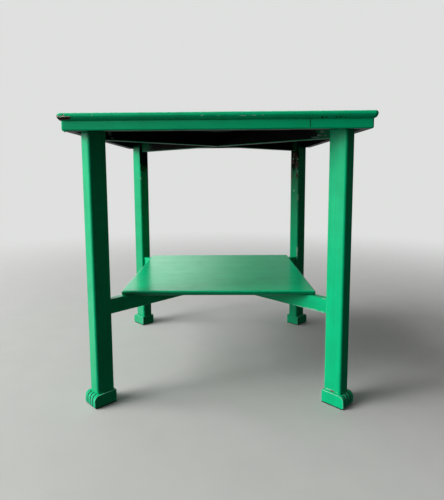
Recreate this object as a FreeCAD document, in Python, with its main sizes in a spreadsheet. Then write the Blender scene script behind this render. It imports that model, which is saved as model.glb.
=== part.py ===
import FreeCAD, Part
import math
import os
import Sketcher

# Square side table in painted wood: legs, feet and rails set on the diagonals, with a thin shelf.
# Front is -Y, up is +Z, and the origin is on the floor under the middle of the top. Millimetres.
# Each leg, foot and rail is drawn along its own +X, which points out along a diagonal of the
# table, and is then turned into its place.

SIZES = [
    ("table_height", 720, "floor to the top face"),
    ("top_size", 727, "the square top, nosing to nosing"),
    ("top_thick", 18, "boards of the top"),
    ("board_width", 152.4, "full boards of the top; the two outer boards take what is left"),
    ("nosing_radius", 7.5, "rounding of the top's upper edge"),
    ("nosing_splay", 9.6, "side of the slope under the top's edge, at 45 degrees"),
    ("nosing_corner", 10.2, "rounding of the top's four corners, seen from above"),
    ("least_flat", 0.2, "half the flat left between two roundings that nearly meet"),
    ("tongue_width", 20, "loose tongue in each joint between boards"),
    ("tongue_thick", 6, "loose tongue"),
    ("tongue_stop", 45, "from the front and back edges to the tongue's ends"),
    ("fascia_reveal", 9, "top's edge stands out past the fascia"),
    ("fascia_thick", 22, "fascia strips, front to back"),
    ("fascia_height", 22, "fascia strips"),
    ("fascia_round", 4, "outer lower arris and corners of the fascia"),
    ("fascia_joint", 211, "from the middle to the butt joint in the front fascia"),
    ("joint_vee", 1.3, "side of the small vee left open along that joint"),
    ("joint_filled", 4, "height at its foot where paint has filled the vee"),
    ("leg_depth", 48, "leg section along the diagonal"),
    ("leg_width", 37.6, "leg section across the diagonal"),
    ("leg_round", 6, "arrises of the leg"),
    ("leg_gap", 4.2, "from the fascia's inner faces to the leg's outer corners"),
    ("foot_height", 33, "foot block"),
    ("foot_outer", 12, "foot stands out past the leg's outer face"),
    ("foot_inner", 2, "foot stands out past the leg's inner face"),
    ("foot_side", 6, "foot stands out past each side of the leg"),
    ("foot_toe_round", 13, "upper rounding of the outer end"),
    ("foot_heel_round", 6.5, "lower rounding of the outer end"),
    ("foot_soft", 2.5, "rounding of the inner end"),
    ("reed_pitch", 12, "between the grooves in the foot's outer end"),
    ("reed_groove", 1.9, "radius of those grooves"),
    ("dowel_size", 12, "dowel between leg and foot"),
    ("dowel_in_foot", 20, "length of the dowel in the foot"),
    ("dowel_in_leg", 30, "length of the dowel in the leg"),
    ("rail_thick", 20, "all four rails"),
    ("rail_height", 38, "all four rails"),
    ("rail_round", 1.6, "long arrises of the rails"),
    ("tenon_thick", 10, "tenon on each rail end"),
    ("tenon_length", 24, "tenon on each rail end"),
    ("tenon_shoulder", 6, "above and below each tenon"),
    ("shelf_level", 278, "floor to the shelf's top face"),
    ("shelf_thick", 12, "shelf board"),
    ("shelf_round", 4.5, "edges of the shelf"),
    ("shelf_corner_gap", 39.6, "from a leg's inner face to the shelf's corner"),
    ("glue_gap", 0.1, "clearance all round each tongue, tenon, dowel, pin and screw"),
    ("screw_size", 4, "shank of every screw"),
    ("screw_head", 8, "head of every screw"),
    ("screw_head_thick", 2.5, "head of every screw"),
    ("screw_slot", 1.2, "slot across each head"),
    ("screw_well", 10, "hole that sinks each head into the rail"),
    ("top_screw_length", 38, "under the head"),
    ("top_screw_bite", 14, "length in the top"),
    ("top_screw_near", 160, "from the middle along the rail"),
    ("top_screw_far", 290, "from the middle along the rail"),
    ("shelf_screw_length", 32, "under the head"),
    ("shelf_screw_bite", 8, "length in the shelf"),
    ("shelf_screw_out", 210, "from the middle along the rail"),
    ("pin_size", 2.4, "pins that hold the fascia"),
    ("pin_length", 34, "pins that hold the fascia"),
    ("pin_sunk", 1, "pin's lower end above the fascia's lower face"),
    ("pin_near", 110, "from the middle of a side to its inner pins"),
    ("pin_far", 290, "from the middle of a side to its outer pins"),
]

TOUCH = 0.01  # two places closer than this are the same
PAST = 1  # how far a cutting block reaches past what it cuts
SLOT_TURN = 40  # degrees that each screw's slot has turned past the one before

doc = FreeCAD.newDocument("side_table")
sheet = doc.addObject("Spreadsheet::Sheet", "sizes")
for row, (alias, value, note) in enumerate(SIZES, start=1):
    sheet.set(f"A{row}", alias)
    sheet.set(f"B{row}", str(value))
    sheet.set(f"C{row}", note)
    sheet.setAlias(f"B{row}", alias)
doc.recompute()

# Places worked out from the sheet, as expressions that the features share.
S = "sizes."
TOP_UNDERSIDE = f"({S}table_height - {S}top_thick)"
TOP_HALF = f"({S}top_size / 2)"
FASCIA_HALF = f"({TOP_HALF} - {S}fascia_reveal)"
FASCIA_FOOT = f"({TOP_UNDERSIDE} - {S}fascia_height)"
LEG_OUT = (f"({FASCIA_HALF} - {S}fascia_thick - {S}leg_gap"
           f" - ({S}leg_depth + {S}leg_width) / 2 / sqrt(2))")
RAIL_HALF = f"({LEG_OUT} * sqrt(2) - {S}leg_depth / 2)"
TOP_RAIL_FOOT = f"({TOP_UNDERSIDE} - {S}rail_height)"
SHELF_UNDERSIDE = f"({S}shelf_level - {S}shelf_thick)"
LOWER_RAIL_FOOT = f"({SHELF_UNDERSIDE} - {S}rail_height)"
SHELF_HALF = f"({RAIL_HALF} / sqrt(2) - {S}shelf_corner_gap / sqrt(2))"

# Corner name, turn of its diagonal about +Z, and the signs of its X and Y.
CORNERS = [
    ("back_right", 45, 1, 1),
    ("back_left", 135, -1, 1),
    ("front_left", 225, -1, -1),
    ("front_right", 315, 1, -1),
]


def size(alias):
    return float(sheet.get(alias))


def bind(thing, **bindings):
    """Ties properties to expressions; a double underscore in a name stands for a dot."""
    for name, expression in bindings.items():
        thing.setExpression(name.replace("__", "."), expression)
    return thing


def turned(thing, degrees, x="0", y="0", z="0"):
    """Turns a piece about +Z and ties its place to the sheet."""
    thing.Placement = FreeCAD.Placement(
        FreeCAD.Vector(), FreeCAD.Rotation(FreeCAD.Vector(0, 0, 1), degrees))
    return bind(thing, Placement__Base__x=x, Placement__Base__y=y, Placement__Base__z=z)


def new_body(label):
    body = doc.addObject("PartDesign::Body", label)
    body.Label = label
    return body


def new_sketch(body, name, role, across="0", up="0", lift="0"):
    """A sketch on one of the body's own origin planes, its zero moved by the three offsets."""
    sketch = body.newObject("Sketcher::SketchObject", name)
    plane = next(f for f in body.Origin.OriginFeatures if f.Role == role)
    sketch.AttachmentSupport = [(plane, "")]
    sketch.MapMode = "FlatFace"
    return bind(sketch, AttachmentOffset__Base__x=across, AttachmentOffset__Base__y=up,
                AttachmentOffset__Base__z=lift)


def named(sketch, name, constraint):
    sketch.renameConstraint(sketch.addConstraint(constraint), name)


def rectangle(body, name, role, wide, high, **place):
    """A rectangle centred on the sketch's zero."""
    sketch = new_sketch(body, name, role, **place)
    corners = [FreeCAD.Vector(x, y, 0) for x, y in ((-5, -5), (5, -5), (5, 5), (-5, 5))]
    for i in range(4):
        sketch.addGeometry(Part.LineSegment(corners[i], corners[(i + 1) % 4]))
    for i in range(4):
        sketch.addConstraint(Sketcher.Constraint("Coincident", i, 2, (i + 1) % 4, 1))
    for line, way in enumerate(("Horizontal", "Vertical", "Horizontal", "Vertical")):
        sketch.addConstraint(Sketcher.Constraint(way, line))
    sketch.addConstraint(Sketcher.Constraint("Symmetric", 0, 1, 2, 1, -1, 1))
    named(sketch, "wide", Sketcher.Constraint("DistanceX", 0, 1, 0, 2, 10))
    named(sketch, "high", Sketcher.Constraint("DistanceY", 1, 1, 1, 2, 10))
    return bind(sketch, Constraints__wide=wide, Constraints__high=high)


def pad(body, name, sketch, length, both_ways=False):
    feature = body.newObject("PartDesign::Pad", name)
    feature.Profile = sketch
    feature.Midplane = both_ways
    return bind(feature, Length=length)


def pocket(body, name, sketch, length, both_ways=False):
    """Cuts towards the sketch's normal, or both ways from its plane."""
    feature = body.newObject("PartDesign::Pocket", name)
    feature.Profile = sketch
    feature.Midplane = both_ways
    feature.Reversed = not both_ways
    return bind(feature, Length=length)


def edge_work(body, kind, name, base, chosen):
    """A feature on the edges of base that the function chosen picks."""
    doc.recompute()
    names = [f"Edge{i}" for i, edge in enumerate(base.Shape.Edges, start=1) if chosen(edge)]
    feature = body.newObject(f"PartDesign::{kind}", name)
    feature.Base = (base, names)
    return feature


def fillet(body, name, base, chosen, radius):
    return bind(edge_work(body, "Fillet", name, base, chosen), Radius=radius)


def splay(body, name, base, chosen, side):
    return bind(edge_work(body, "Chamfer", name, base, chosen), Size=side)


def runs_along(edge, axis):
    """True for a straight edge parallel to the axis numbered 0, 1 or 2."""
    ends = edge.Vertexes
    if len(ends) != 2:
        return False
    run = ends[1].Point - ends[0].Point
    return abs(run[axis]) > 0.999 * run.Length


def box(name, long, wide, high, x, y, z, degrees=0):
    """A box centred on x and y, standing on z, turned about its own middle."""
    block = bind(doc.addObject("Part::Box", name), Length=long, Width=wide, Height=high,
                 Placement__Base__x=f"-({long}) / 2", Placement__Base__y=f"-({wide}) / 2")
    return turned(group(f"{name}_centred", [block]), degrees, x, y, z)


def rod(name, across, high, x, y, z):
    """An upright cylinder standing on z."""
    feature = bind(doc.addObject("Part::Cylinder", name), Radius=f"({across}) / 2", Height=high)
    return turned(feature, 0, x, y, z)


def group(label, members):
    compound = doc.addObject("Part::Compound", label)
    compound.Label = label
    compound.Links = members
    return compound


def cut(label, base, tool):
    feature = doc.addObject("Part::Cut", label)
    feature.Label = label
    feature.Base = base
    feature.Tool = tool
    return feature


def on_diagonal(sign_x, sign_y, distance):
    """X and Y of a point on a diagonal, from the signs of its X and Y."""
    return f"{sign_x} * ({distance}) / sqrt(2)", f"{sign_y} * ({distance}) / sqrt(2)"


# --- Screws: up through the rails into the top, and up through the lower rails into the shelf.

def screw_set(label, rail_foot, rail_head, length, bite, distances):
    """The screws of one pair of rails, and the holes that they need."""
    seat = f"({rail_head} + {bite} - {length})"
    screws, holes = [], []
    for corner, turn, sign_x, sign_y in CORNERS:
        for number, distance in enumerate(distances, start=1):
            x, y = on_diagonal(sign_x, sign_y, distance)
            name = f"{label}_{corner}_{number}"
            shank = rod(f"{name}_shank", f"{S}screw_size", length, x, y, seat)
            head = rod(f"{name}_head", f"{S}screw_head", f"{S}screw_head_thick", x, y,
                       f"{seat} - {S}screw_head_thick")
            whole = doc.addObject("Part::Fuse", f"{name}_whole")
            whole.Base, whole.Tool = shank, head
            slot = box(f"{name}_slot", f"{S}screw_head + {PAST}", f"{S}screw_slot",
                       f"{S}screw_head_thick / 2", x, y, f"{seat} - {S}screw_head_thick",
                       turn + SLOT_TURN * number)
            screws.append(cut(name, whole, slot))
            holes.append(rod(f"{name}_hole", f"{S}screw_size + 2 * {S}glue_gap",
                             f"{length} + {S}glue_gap", x, y, seat))
            holes.append(rod(f"{name}_well", f"{S}screw_well", f"{seat} - {rail_foot}",
                             x, y, rail_foot))
    return group(label, screws), group(f"{label}_holes", holes)


top_screws, top_screw_holes = screw_set(
    "top_screws", TOP_RAIL_FOOT, TOP_UNDERSIDE, f"{S}top_screw_length", f"{S}top_screw_bite",
    (f"{S}top_screw_near", f"{S}top_screw_far"))
shelf_screws, shelf_screw_holes = screw_set(
    "shelf_screws", LOWER_RAIL_FOOT, SHELF_UNDERSIDE, f"{S}shelf_screw_length",
    f"{S}shelf_screw_bite", (f"{S}shelf_screw_out",))


# --- Pins: up through the fascia into the top, four to a side.

def pin_set():
    middle = f"({FASCIA_HALF} - {S}fascia_thick / 2)"
    foot = f"({FASCIA_FOOT} + {S}pin_sunk)"
    pins, holes = [], []
    for side, across, out in (("front", True, -1), ("back", True, 1),
                              ("left", False, -1), ("right", False, 1)):
        places = [f"{sign} * {S}{reach}" for sign, reach in
                  ((-1, "pin_far"), (-1, "pin_near"), (1, "pin_near"), (1, "pin_far"))]
        for number, place in enumerate(places, start=1):
            x, y = (place, f"{out} * {middle}") if across else (f"{out} * {middle}", place)
            name = f"fascia_pin_{side}_{number}"
            pins.append(rod(name, f"{S}pin_size", f"{S}pin_length", x, y, foot))
            holes.append(rod(f"{name}_hole", f"{S}pin_size + 2 * {S}glue_gap",
                             f"{S}pin_length + {S}pin_sunk + {S}glue_gap", x, y, FASCIA_FOOT))
    return group("fascia_pins", pins), group("fascia_pin_holes", holes)


fascia_pins, fascia_pin_holes = pin_set()


# --- The top: five boards side by side, running front to back, with loose tongues between them.

BOARD_JOINTS = [f"({k} * {S}board_width)" for k in (-1.5, -0.5, 0.5, 1.5)]
TONGUE_LEVEL = f"({TOP_UNDERSIDE} + {S}top_thick / 2)"
TONGUE_LENGTH = f"({S}top_size - 2 * {S}tongue_stop)"


def tongue(name, joint, ease):
    """A tongue, or the groove for it when ease is the clearance round it."""
    return box(name, f"{S}tongue_width + 2 * {ease}", f"{TONGUE_LENGTH} + 2 * {ease}",
               f"{S}tongue_thick + 2 * {ease}", joint, "0",
               f"{TONGUE_LEVEL} - {S}tongue_thick / 2 - {ease}")


top_tongues = group("top_tongues", [
    tongue(f"top_tongue_{i}", joint, "0") for i, joint in enumerate(BOARD_JOINTS, start=1)])
tongue_grooves = [
    tongue(f"tongue_groove_{i}", joint, f"{S}glue_gap")
    for i, joint in enumerate(BOARD_JOINTS, start=1)]
top_cutters = group("top_cutters", tongue_grooves + [top_screw_holes, fascia_pin_holes])


def top_board(label, low, high):
    """One board between two X places, its nosing worked on the edges that lie on the outside."""
    body = new_body(f"{label}_blank")
    plan = rectangle(body, f"{label}_plan", "XY_Plane", f"{high} - ({low})", f"{S}top_size")
    blank = pad(body, f"{label}_pad", plan, f"{S}top_thick")
    turned(body, 0, f"(({low}) + ({high})) / 2", "0", TOP_UNDERSIDE)
    doc.recompute()
    middle = body.Placement.Base.x
    half = size("top_size") / 2

    def at_side(edge, axis):
        return abs(abs(edge.CenterOfMass.x + middle) - half) < TOUCH and runs_along(edge, axis)

    def outside(edge, level):
        """True for an edge at this level, at a board's end or along the side of the top."""
        centre = edge.CenterOfMass
        at_end = abs(abs(centre.y) - half) < TOUCH and runs_along(edge, 0)
        return abs(centre.z - level) < TOUCH and (at_end or at_side(edge, 1))

    if any(at_side(edge, 1) for edge in blank.Shape.Edges):
        blank = fillet(body, f"{label}_corners", blank, lambda edge: at_side(edge, 2),
                       f"{S}nosing_corner")
    sloped = splay(body, f"{label}_splay", blank, lambda edge: outside(edge, 0),
                   f"min({S}nosing_splay; {S}nosing_corner - {S}least_flat)")
    fillet(body, f"{label}_nosing", sloped, lambda edge: outside(edge, size("top_thick")),
           f"min({S}nosing_radius; {S}top_thick - {S}nosing_splay - {S}least_flat)")
    return cut(label, body, top_cutters)


board_edges = [f"(-{TOP_HALF})"] + BOARD_JOINTS + [TOP_HALF]
top_boards = [
    top_board(f"top_board_{i}", board_edges[i - 1], board_edges[i]) for i in range(1, 6)]


# --- The fascia: a frame of strips under the top's edge, mitred at its corners.

def fascia_frame():
    """The whole frame with its rounding, before it is parted at the mitres."""
    body = new_body("fascia_frame")
    outer = rectangle(body, "fascia_outer", "XY_Plane", f"2 * {FASCIA_HALF}",
                      f"2 * {FASCIA_HALF}")
    block = pad(body, "fascia_pad", outer, f"{S}fascia_height")
    half = size("top_size") / 2 - size("fascia_reveal")

    def on_outside(edge):
        centre = edge.CenterOfMass
        corner = min(abs(centre.x), abs(centre.y)) > half - TOUCH
        return centre.z < TOUCH or corner

    fillet(body, "fascia_rounding", block, on_outside, f"{S}fascia_round")
    inner = rectangle(body, "fascia_inner", "XY_Plane",
                      f"2 * ({FASCIA_HALF} - {S}fascia_thick)",
                      f"2 * ({FASCIA_HALF} - {S}fascia_thick)")
    pocket(body, "fascia_hollow", inner, f"{S}fascia_height")
    return turned(body, 0, z=FASCIA_FOOT)


def mitre_block(name, degrees):
    """The quarter of the frame's space between two mitres, drawn on the front and turned."""
    inner = f"({FASCIA_HALF} - {S}fascia_thick - {PAST})"
    outer = f"({FASCIA_HALF} + {PAST})"
    wedge = bind(doc.addObject("Part::Wedge", name), Ymin=f"-{outer}", Ymax=f"-{inner}",
                 Xmin=f"-{outer}", Xmax=outer, X2min=f"-{inner}", X2max=inner,
                 Zmin="0", Z2min="0", Zmax=f"{S}fascia_height", Z2max=f"{S}fascia_height")
    return turned(wedge, degrees, z=FASCIA_FOOT)


def common(label, base, tool):
    feature = doc.addObject("Part::Common", label)
    feature.Base = base
    feature.Tool = tool
    return feature


frame = fascia_frame()
fascias = [
    cut(f"fascia_{side}", common(f"fascia_{side}_strip", frame, mitre_block(f"mitre_{side}", turn)),
        fascia_pin_holes)
    for side, turn in (("right", 90), ("back", 180), ("left", 270))]

front_strip = common("fascia_front_strip", frame, mitre_block("mitre_front", 0))
joint_line = box("fascia_joint_vee", f"{S}joint_vee", f"{S}joint_vee",
                 f"{S}fascia_height - {S}joint_filled", f"{S}fascia_joint", f"-{FASCIA_HALF}",
                 f"{FASCIA_FOOT} + {S}joint_filled", 45)
front_cutters = group("front_cutters", [fascia_pin_holes, joint_line])
for label, low, high in (("fascia_front_long", f"-{TOP_HALF}", f"{S}fascia_joint"),
                         ("fascia_front_short", f"{S}fascia_joint", TOP_HALF)):
    reach = box(f"{label}_reach", f"{high} - ({low})", f"{S}top_size", f"{S}table_height",
                f"({high} + ({low})) / 2", "0", "0")
    fascias.append(cut(label, common(f"{label}_strip", front_strip, reach), front_cutters))


# --- The four rails: two under the top and two under the shelf, halved over each other.

def rail(label, degrees, foot, notch_on_top, cutters):
    body = new_body(f"{label}_blank")
    middle = f"{S}rail_height / 2"
    section = rectangle(body, f"{label}_section", "YZ_Plane", f"{S}rail_thick",
                        f"{S}rail_height", up=middle)
    bar = pad(body, f"{label}_bar", section, f"2 * {RAIL_HALF}", both_ways=True)
    fillet(body, f"{label}_arrises", bar, lambda edge: runs_along(edge, 0), f"{S}rail_round")
    tenon = rectangle(body, f"{label}_tenon_section", "YZ_Plane", f"{S}tenon_thick",
                      f"{S}rail_height - 2 * {S}tenon_shoulder", up=middle)
    pad(body, f"{label}_tenons", tenon, f"2 * ({RAIL_HALF} + {S}tenon_length)", both_ways=True)
    half_cut_out = "3 / 4" if notch_on_top else "1 / 4"
    notch = rectangle(body, f"{label}_notch_outline", "XZ_Plane",
                      f"{S}rail_thick + 2 * {S}glue_gap", f"{S}rail_height / 2",
                      up=f"{S}rail_height * {half_cut_out}")
    pocket(body, f"{label}_notch", notch, f"2 * {S}rail_thick", both_ways=True)
    turned(body, degrees, z=foot)
    return cut(label, body, cutters)


rails = [
    rail("top_rail_front_left_to_back_right", 45, TOP_RAIL_FOOT, False, top_screw_holes),
    rail("top_rail_front_right_to_back_left", 135, TOP_RAIL_FOOT, True, top_screw_holes),
    rail("lower_rail_front_left_to_back_right", 45, LOWER_RAIL_FOOT, False, shelf_screw_holes),
    rail("lower_rail_front_right_to_back_left", 135, LOWER_RAIL_FOOT, True, shelf_screw_holes),
]


# --- The shelf: one thin board on the lower rails.

def shelf_board():
    body = new_body("shelf_blank")
    plan = rectangle(body, "shelf_plan", "XY_Plane", f"2 * {SHELF_HALF}", f"2 * {SHELF_HALF}")
    board = pad(body, "shelf_pad", plan, f"{S}shelf_thick")
    fillet(body, "shelf_edges", board, lambda edge: True,
           f"min({S}shelf_round; {S}shelf_thick / 2 - {S}least_flat)")
    turned(body, 0, z=SHELF_UNDERSIDE)
    return cut("shelf", body, shelf_screw_holes)


shelf = shelf_board()


# --- Legs, feet and the dowels between them, one set at each corner.

def leg(corner, degrees, x, y, dowel_hole):
    body = new_body(f"leg_{corner}_blank")
    section = rectangle(body, f"leg_{corner}_section", "XY_Plane", f"{S}leg_depth",
                        f"{S}leg_width")
    post = pad(body, f"leg_{corner}_post", section, f"{TOP_UNDERSIDE} - {S}foot_height")
    fillet(body, f"leg_{corner}_arrises", post, lambda edge: runs_along(edge, 2),
           f"{S}leg_round")
    for which, foot in (("top", TOP_RAIL_FOOT), ("lower", LOWER_RAIL_FOOT)):
        mouth = rectangle(body, f"leg_{corner}_{which}_mouth", "YZ_Plane",
                          f"{S}tenon_thick + 2 * {S}glue_gap",
                          f"{S}rail_height - 2 * {S}tenon_shoulder + 2 * {S}glue_gap",
                          up=f"{foot} + {S}rail_height / 2 - {S}foot_height",
                          lift=f"-{S}leg_depth / 2")
        pocket(body, f"leg_{corner}_{which}_mortise", mouth, f"{S}tenon_length + {S}glue_gap")
    turned(body, degrees, x, y, f"{S}foot_height")
    return cut(f"leg_{corner}", body, dowel_hole)


def foot(corner, degrees, x, y, dowel_hole):
    """A block with a round toe, three grooves over the toe and ledges round the leg."""
    body = new_body(f"foot_{corner}_blank")
    long = f"({S}foot_inner + {S}leg_depth + {S}foot_outer)"
    inner = f"(-{S}leg_depth / 2 - {S}foot_inner)"
    toe = f"({S}leg_depth / 2 + {S}foot_outer)"
    side = rectangle(body, f"foot_{corner}_side", "XZ_Plane", long, f"{S}foot_height",
                     across=f"({toe} + {inner}) / 2", up=f"{S}foot_height / 2")
    block = pad(body, f"foot_{corner}_block", side, f"{S}leg_width + 2 * {S}foot_side",
                both_ways=True)

    def crossing(edge, outer, upper):
        centre = edge.CenterOfMass
        return (runs_along(edge, 1) and (centre.x > 0) == outer
                and (centre.z > size("foot_height") / 2) == upper)

    toe_top = fillet(body, f"foot_{corner}_toe", block, lambda e: crossing(e, True, True),
                     f"{S}foot_toe_round")
    toe_low = fillet(body, f"foot_{corner}_heel", toe_top, lambda e: crossing(e, True, False),
                     f"{S}foot_heel_round")
    fillet(body, f"foot_{corner}_inner_end", toe_low,
           lambda e: crossing(e, False, True) or crossing(e, False, False), f"{S}foot_soft")

    for number in (-1, 0, 1):
        place = f"{number} * {S}reed_pitch"
        name = f"foot_{corner}_groove_{number + 2}"
        path = over_toe(body, f"{name}_path", toe, place)
        ring = new_sketch(body, f"{name}_ring", "YZ_Plane", across=f"-1 * ({place})",
                          up=f"{S}foot_height", lift=f"{toe} - {S}foot_toe_round")
        ring.addGeometry(Part.Circle(FreeCAD.Vector(), FreeCAD.Vector(0, 0, 1), 2))
        ring.addConstraint(Sketcher.Constraint("Coincident", 0, 3, -1, 1))
        named(ring, "groove", Sketcher.Constraint("Radius", 0, 2))
        bind(ring, Constraints__groove=f"{S}reed_groove")
        groove = body.newObject("PartDesign::SubtractivePipe", name)
        groove.Profile = ring
        groove.Spine = (path, ["Edge1", "Edge2"])
    turned(body, degrees, x, y)
    return cut(f"foot_{corner}", body, dowel_hole)


def over_toe(body, name, toe, place):
    """The line that a groove follows: round the toe from the ledge, then down past the floor."""
    path = new_sketch(body, name, "XZ_Plane", lift=place)
    circle = Part.Circle(FreeCAD.Vector(20, 20, 0), FreeCAD.Vector(0, 0, 1), 10)
    path.addGeometry(Part.ArcOfCircle(circle, 0, math.pi / 2))
    path.addGeometry(Part.LineSegment(FreeCAD.Vector(30, 20, 0), FreeCAD.Vector(30, -PAST, 0)))
    path.addConstraint(Sketcher.Constraint("Horizontal", 0, 1, 0, 3))
    path.addConstraint(Sketcher.Constraint("Vertical", 0, 2, 0, 3))
    path.addConstraint(Sketcher.Constraint("Coincident", 0, 1, 1, 1))
    path.addConstraint(Sketcher.Constraint("Vertical", 1))
    named(path, "radius", Sketcher.Constraint("Radius", 0, 10))
    named(path, "out", Sketcher.Constraint("DistanceX", -1, 1, 0, 2, 20))
    named(path, "up", Sketcher.Constraint("DistanceY", -1, 1, 0, 2, 30))
    named(path, "below", Sketcher.Constraint("DistanceY", 1, 2, -1, 1, PAST))
    return bind(path, Constraints__radius=f"{S}foot_toe_round",
                Constraints__out=f"{toe} - {S}foot_toe_round", Constraints__up=f"{S}foot_height")


def corner_set(corner, degrees, sign_x, sign_y):
    """The leg, the foot and the dowel at one corner."""
    x, y = f"{sign_x} * {LEG_OUT}", f"{sign_y} * {LEG_OUT}"
    low = f"({S}foot_height - {S}dowel_in_foot)"
    long = f"({S}dowel_in_foot + {S}dowel_in_leg)"
    dowel = rod(f"foot_dowel_{corner}", f"{S}dowel_size", long, x, y, low)
    hole = rod(f"dowel_hole_{corner}", f"{S}dowel_size + 2 * {S}glue_gap",
               f"{long} + {S}glue_gap", x, y, low)
    return (leg(corner, degrees, x, y, hole), foot(corner, degrees, x, y, hole)), dowel


legs_and_feet, dowels = [], []
for corner, degrees, sign_x, sign_y in CORNERS:
    pair, dowel = corner_set(corner, degrees, sign_x, sign_y)
    legs_and_feet += pair
    dowels.append(dowel)
foot_dowels = group("foot_dowels", dowels)

pieces = (top_boards + [top_tongues] + fascias + [fascia_pins] + rails + [shelf]
          + legs_and_feet + [foot_dowels, top_screws, shelf_screws])

doc.recompute()
for thing in doc.Objects:
    if {"Invalid", "Error"} & set(thing.State):
        raise RuntimeError(f"{thing.Label} did not build: {thing.State}")
os.makedirs("parts", exist_ok=True)
for piece in pieces:
    if piece.Shape.isNull() or not piece.Shape.isValid():
        raise RuntimeError(f"{piece.Label} has no valid shape")
    piece.Shape.exportStep(f"parts/{piece.Label}.step")
    print(f"{piece.Label:40s} solids {len(piece.Shape.Solids)}  volume {piece.Shape.Volume:12.1f}")
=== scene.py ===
"""Looks of the painted side table: hand-brushed gloss paint over old dark-stained wood."""
import math

import bpy
from mathutils import Matrix, Vector


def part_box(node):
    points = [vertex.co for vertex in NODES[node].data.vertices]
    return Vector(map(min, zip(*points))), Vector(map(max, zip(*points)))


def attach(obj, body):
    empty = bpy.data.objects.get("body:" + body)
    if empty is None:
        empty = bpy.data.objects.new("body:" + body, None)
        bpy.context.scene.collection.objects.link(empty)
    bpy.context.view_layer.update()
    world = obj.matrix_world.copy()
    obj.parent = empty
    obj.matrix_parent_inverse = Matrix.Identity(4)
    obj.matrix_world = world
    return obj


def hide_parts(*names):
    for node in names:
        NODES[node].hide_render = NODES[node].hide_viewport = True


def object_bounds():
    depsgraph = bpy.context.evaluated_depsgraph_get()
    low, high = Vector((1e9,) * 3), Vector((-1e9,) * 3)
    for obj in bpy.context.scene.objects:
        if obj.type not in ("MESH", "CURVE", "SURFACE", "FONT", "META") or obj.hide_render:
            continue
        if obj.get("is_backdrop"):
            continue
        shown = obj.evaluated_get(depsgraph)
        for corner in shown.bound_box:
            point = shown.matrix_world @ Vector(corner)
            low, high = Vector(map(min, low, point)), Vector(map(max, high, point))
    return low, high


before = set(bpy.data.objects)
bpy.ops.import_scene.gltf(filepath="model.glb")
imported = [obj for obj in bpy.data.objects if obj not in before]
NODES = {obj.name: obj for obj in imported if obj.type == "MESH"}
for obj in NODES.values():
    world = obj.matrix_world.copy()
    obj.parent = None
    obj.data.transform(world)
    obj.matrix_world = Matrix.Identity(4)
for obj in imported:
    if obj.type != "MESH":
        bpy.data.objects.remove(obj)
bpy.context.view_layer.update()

MM = 0.001
BODY = "root"


# --- Colours and nodes

def linear(hex_colour):
    """An sRGB hex colour as linear red, green, blue and alpha."""
    parts = [int(hex_colour[i:i + 2], 16) / 255 for i in (1, 3, 5)]
    return [c / 12.92 if c <= 0.04045 else ((c + 0.055) / 1.055) ** 2.4 for c in parts] + [1.0]


def add(tree, kind, inputs=None, out=0, **settings):
    """Adds a node with its settings, fills or links its inputs, and returns one output."""
    node = tree.nodes.new(kind)
    for name, value in settings.items():
        setattr(node, name, value)
    for key, value in (inputs or {}).items():
        if isinstance(value, bpy.types.NodeSocket):
            tree.links.new(value, node.inputs[key])
        else:
            node.inputs[key].default_value = linear(value) if isinstance(value, str) else value
    return node.outputs[out] if len(node.outputs) else node


def new_material(name):
    material = bpy.data.materials.new(name)
    material.use_nodes = True
    material.node_tree.nodes.clear()
    return material, material.node_tree


def nearest_place(tree, where, places):
    """How far a point is from the nearest of several ellipsoids: 1 on its surface and 0 at its
    middle. Each place is (middle, half sizes), both in millimetres."""
    nearest = None
    for middle, half in places:
        scaled = add(tree, "ShaderNodeMapping", {
            0: where, 1: [-m / h for m, h in zip(middle, half)], 3: [1 / (h * MM) for h in half]})
        away = add(tree, "ShaderNodeVectorMath", {0: scaled}, out=1, operation="LENGTH")
        nearest = away if nearest is None else add(
            tree, "ShaderNodeMath", {0: nearest, 1: away}, operation="MINIMUM")
    return nearest


def within(tree, where, places, ragged, full, gone):
    """1 in the places and 0 away from them. It fades between these two distances, which are those
    of nearest_place, and ragged is what is added to them to break up the outline."""
    edge = add(tree, "ShaderNodeMath", {0: nearest_place(tree, where, places), 1: ragged},
               operation="ADD")
    return add(tree, "ShaderNodeMapRange", {0: edge, 1: full, 2: gone, 3: 1.0, 4: 0.0})


PAINT = {"base": "#02B87A", "thin": "#02AF73", "thick": "#04C080"}
GROUND = {"undercoat": "#B9AFA0", "wood": "#53291B", "stain": "#0B0503",
          "stain_worn": "#130D0A", "scuff": "#9BCDB2", "rail_scuff": "#84938B",
          "brushed_over": "#037047"}


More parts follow.
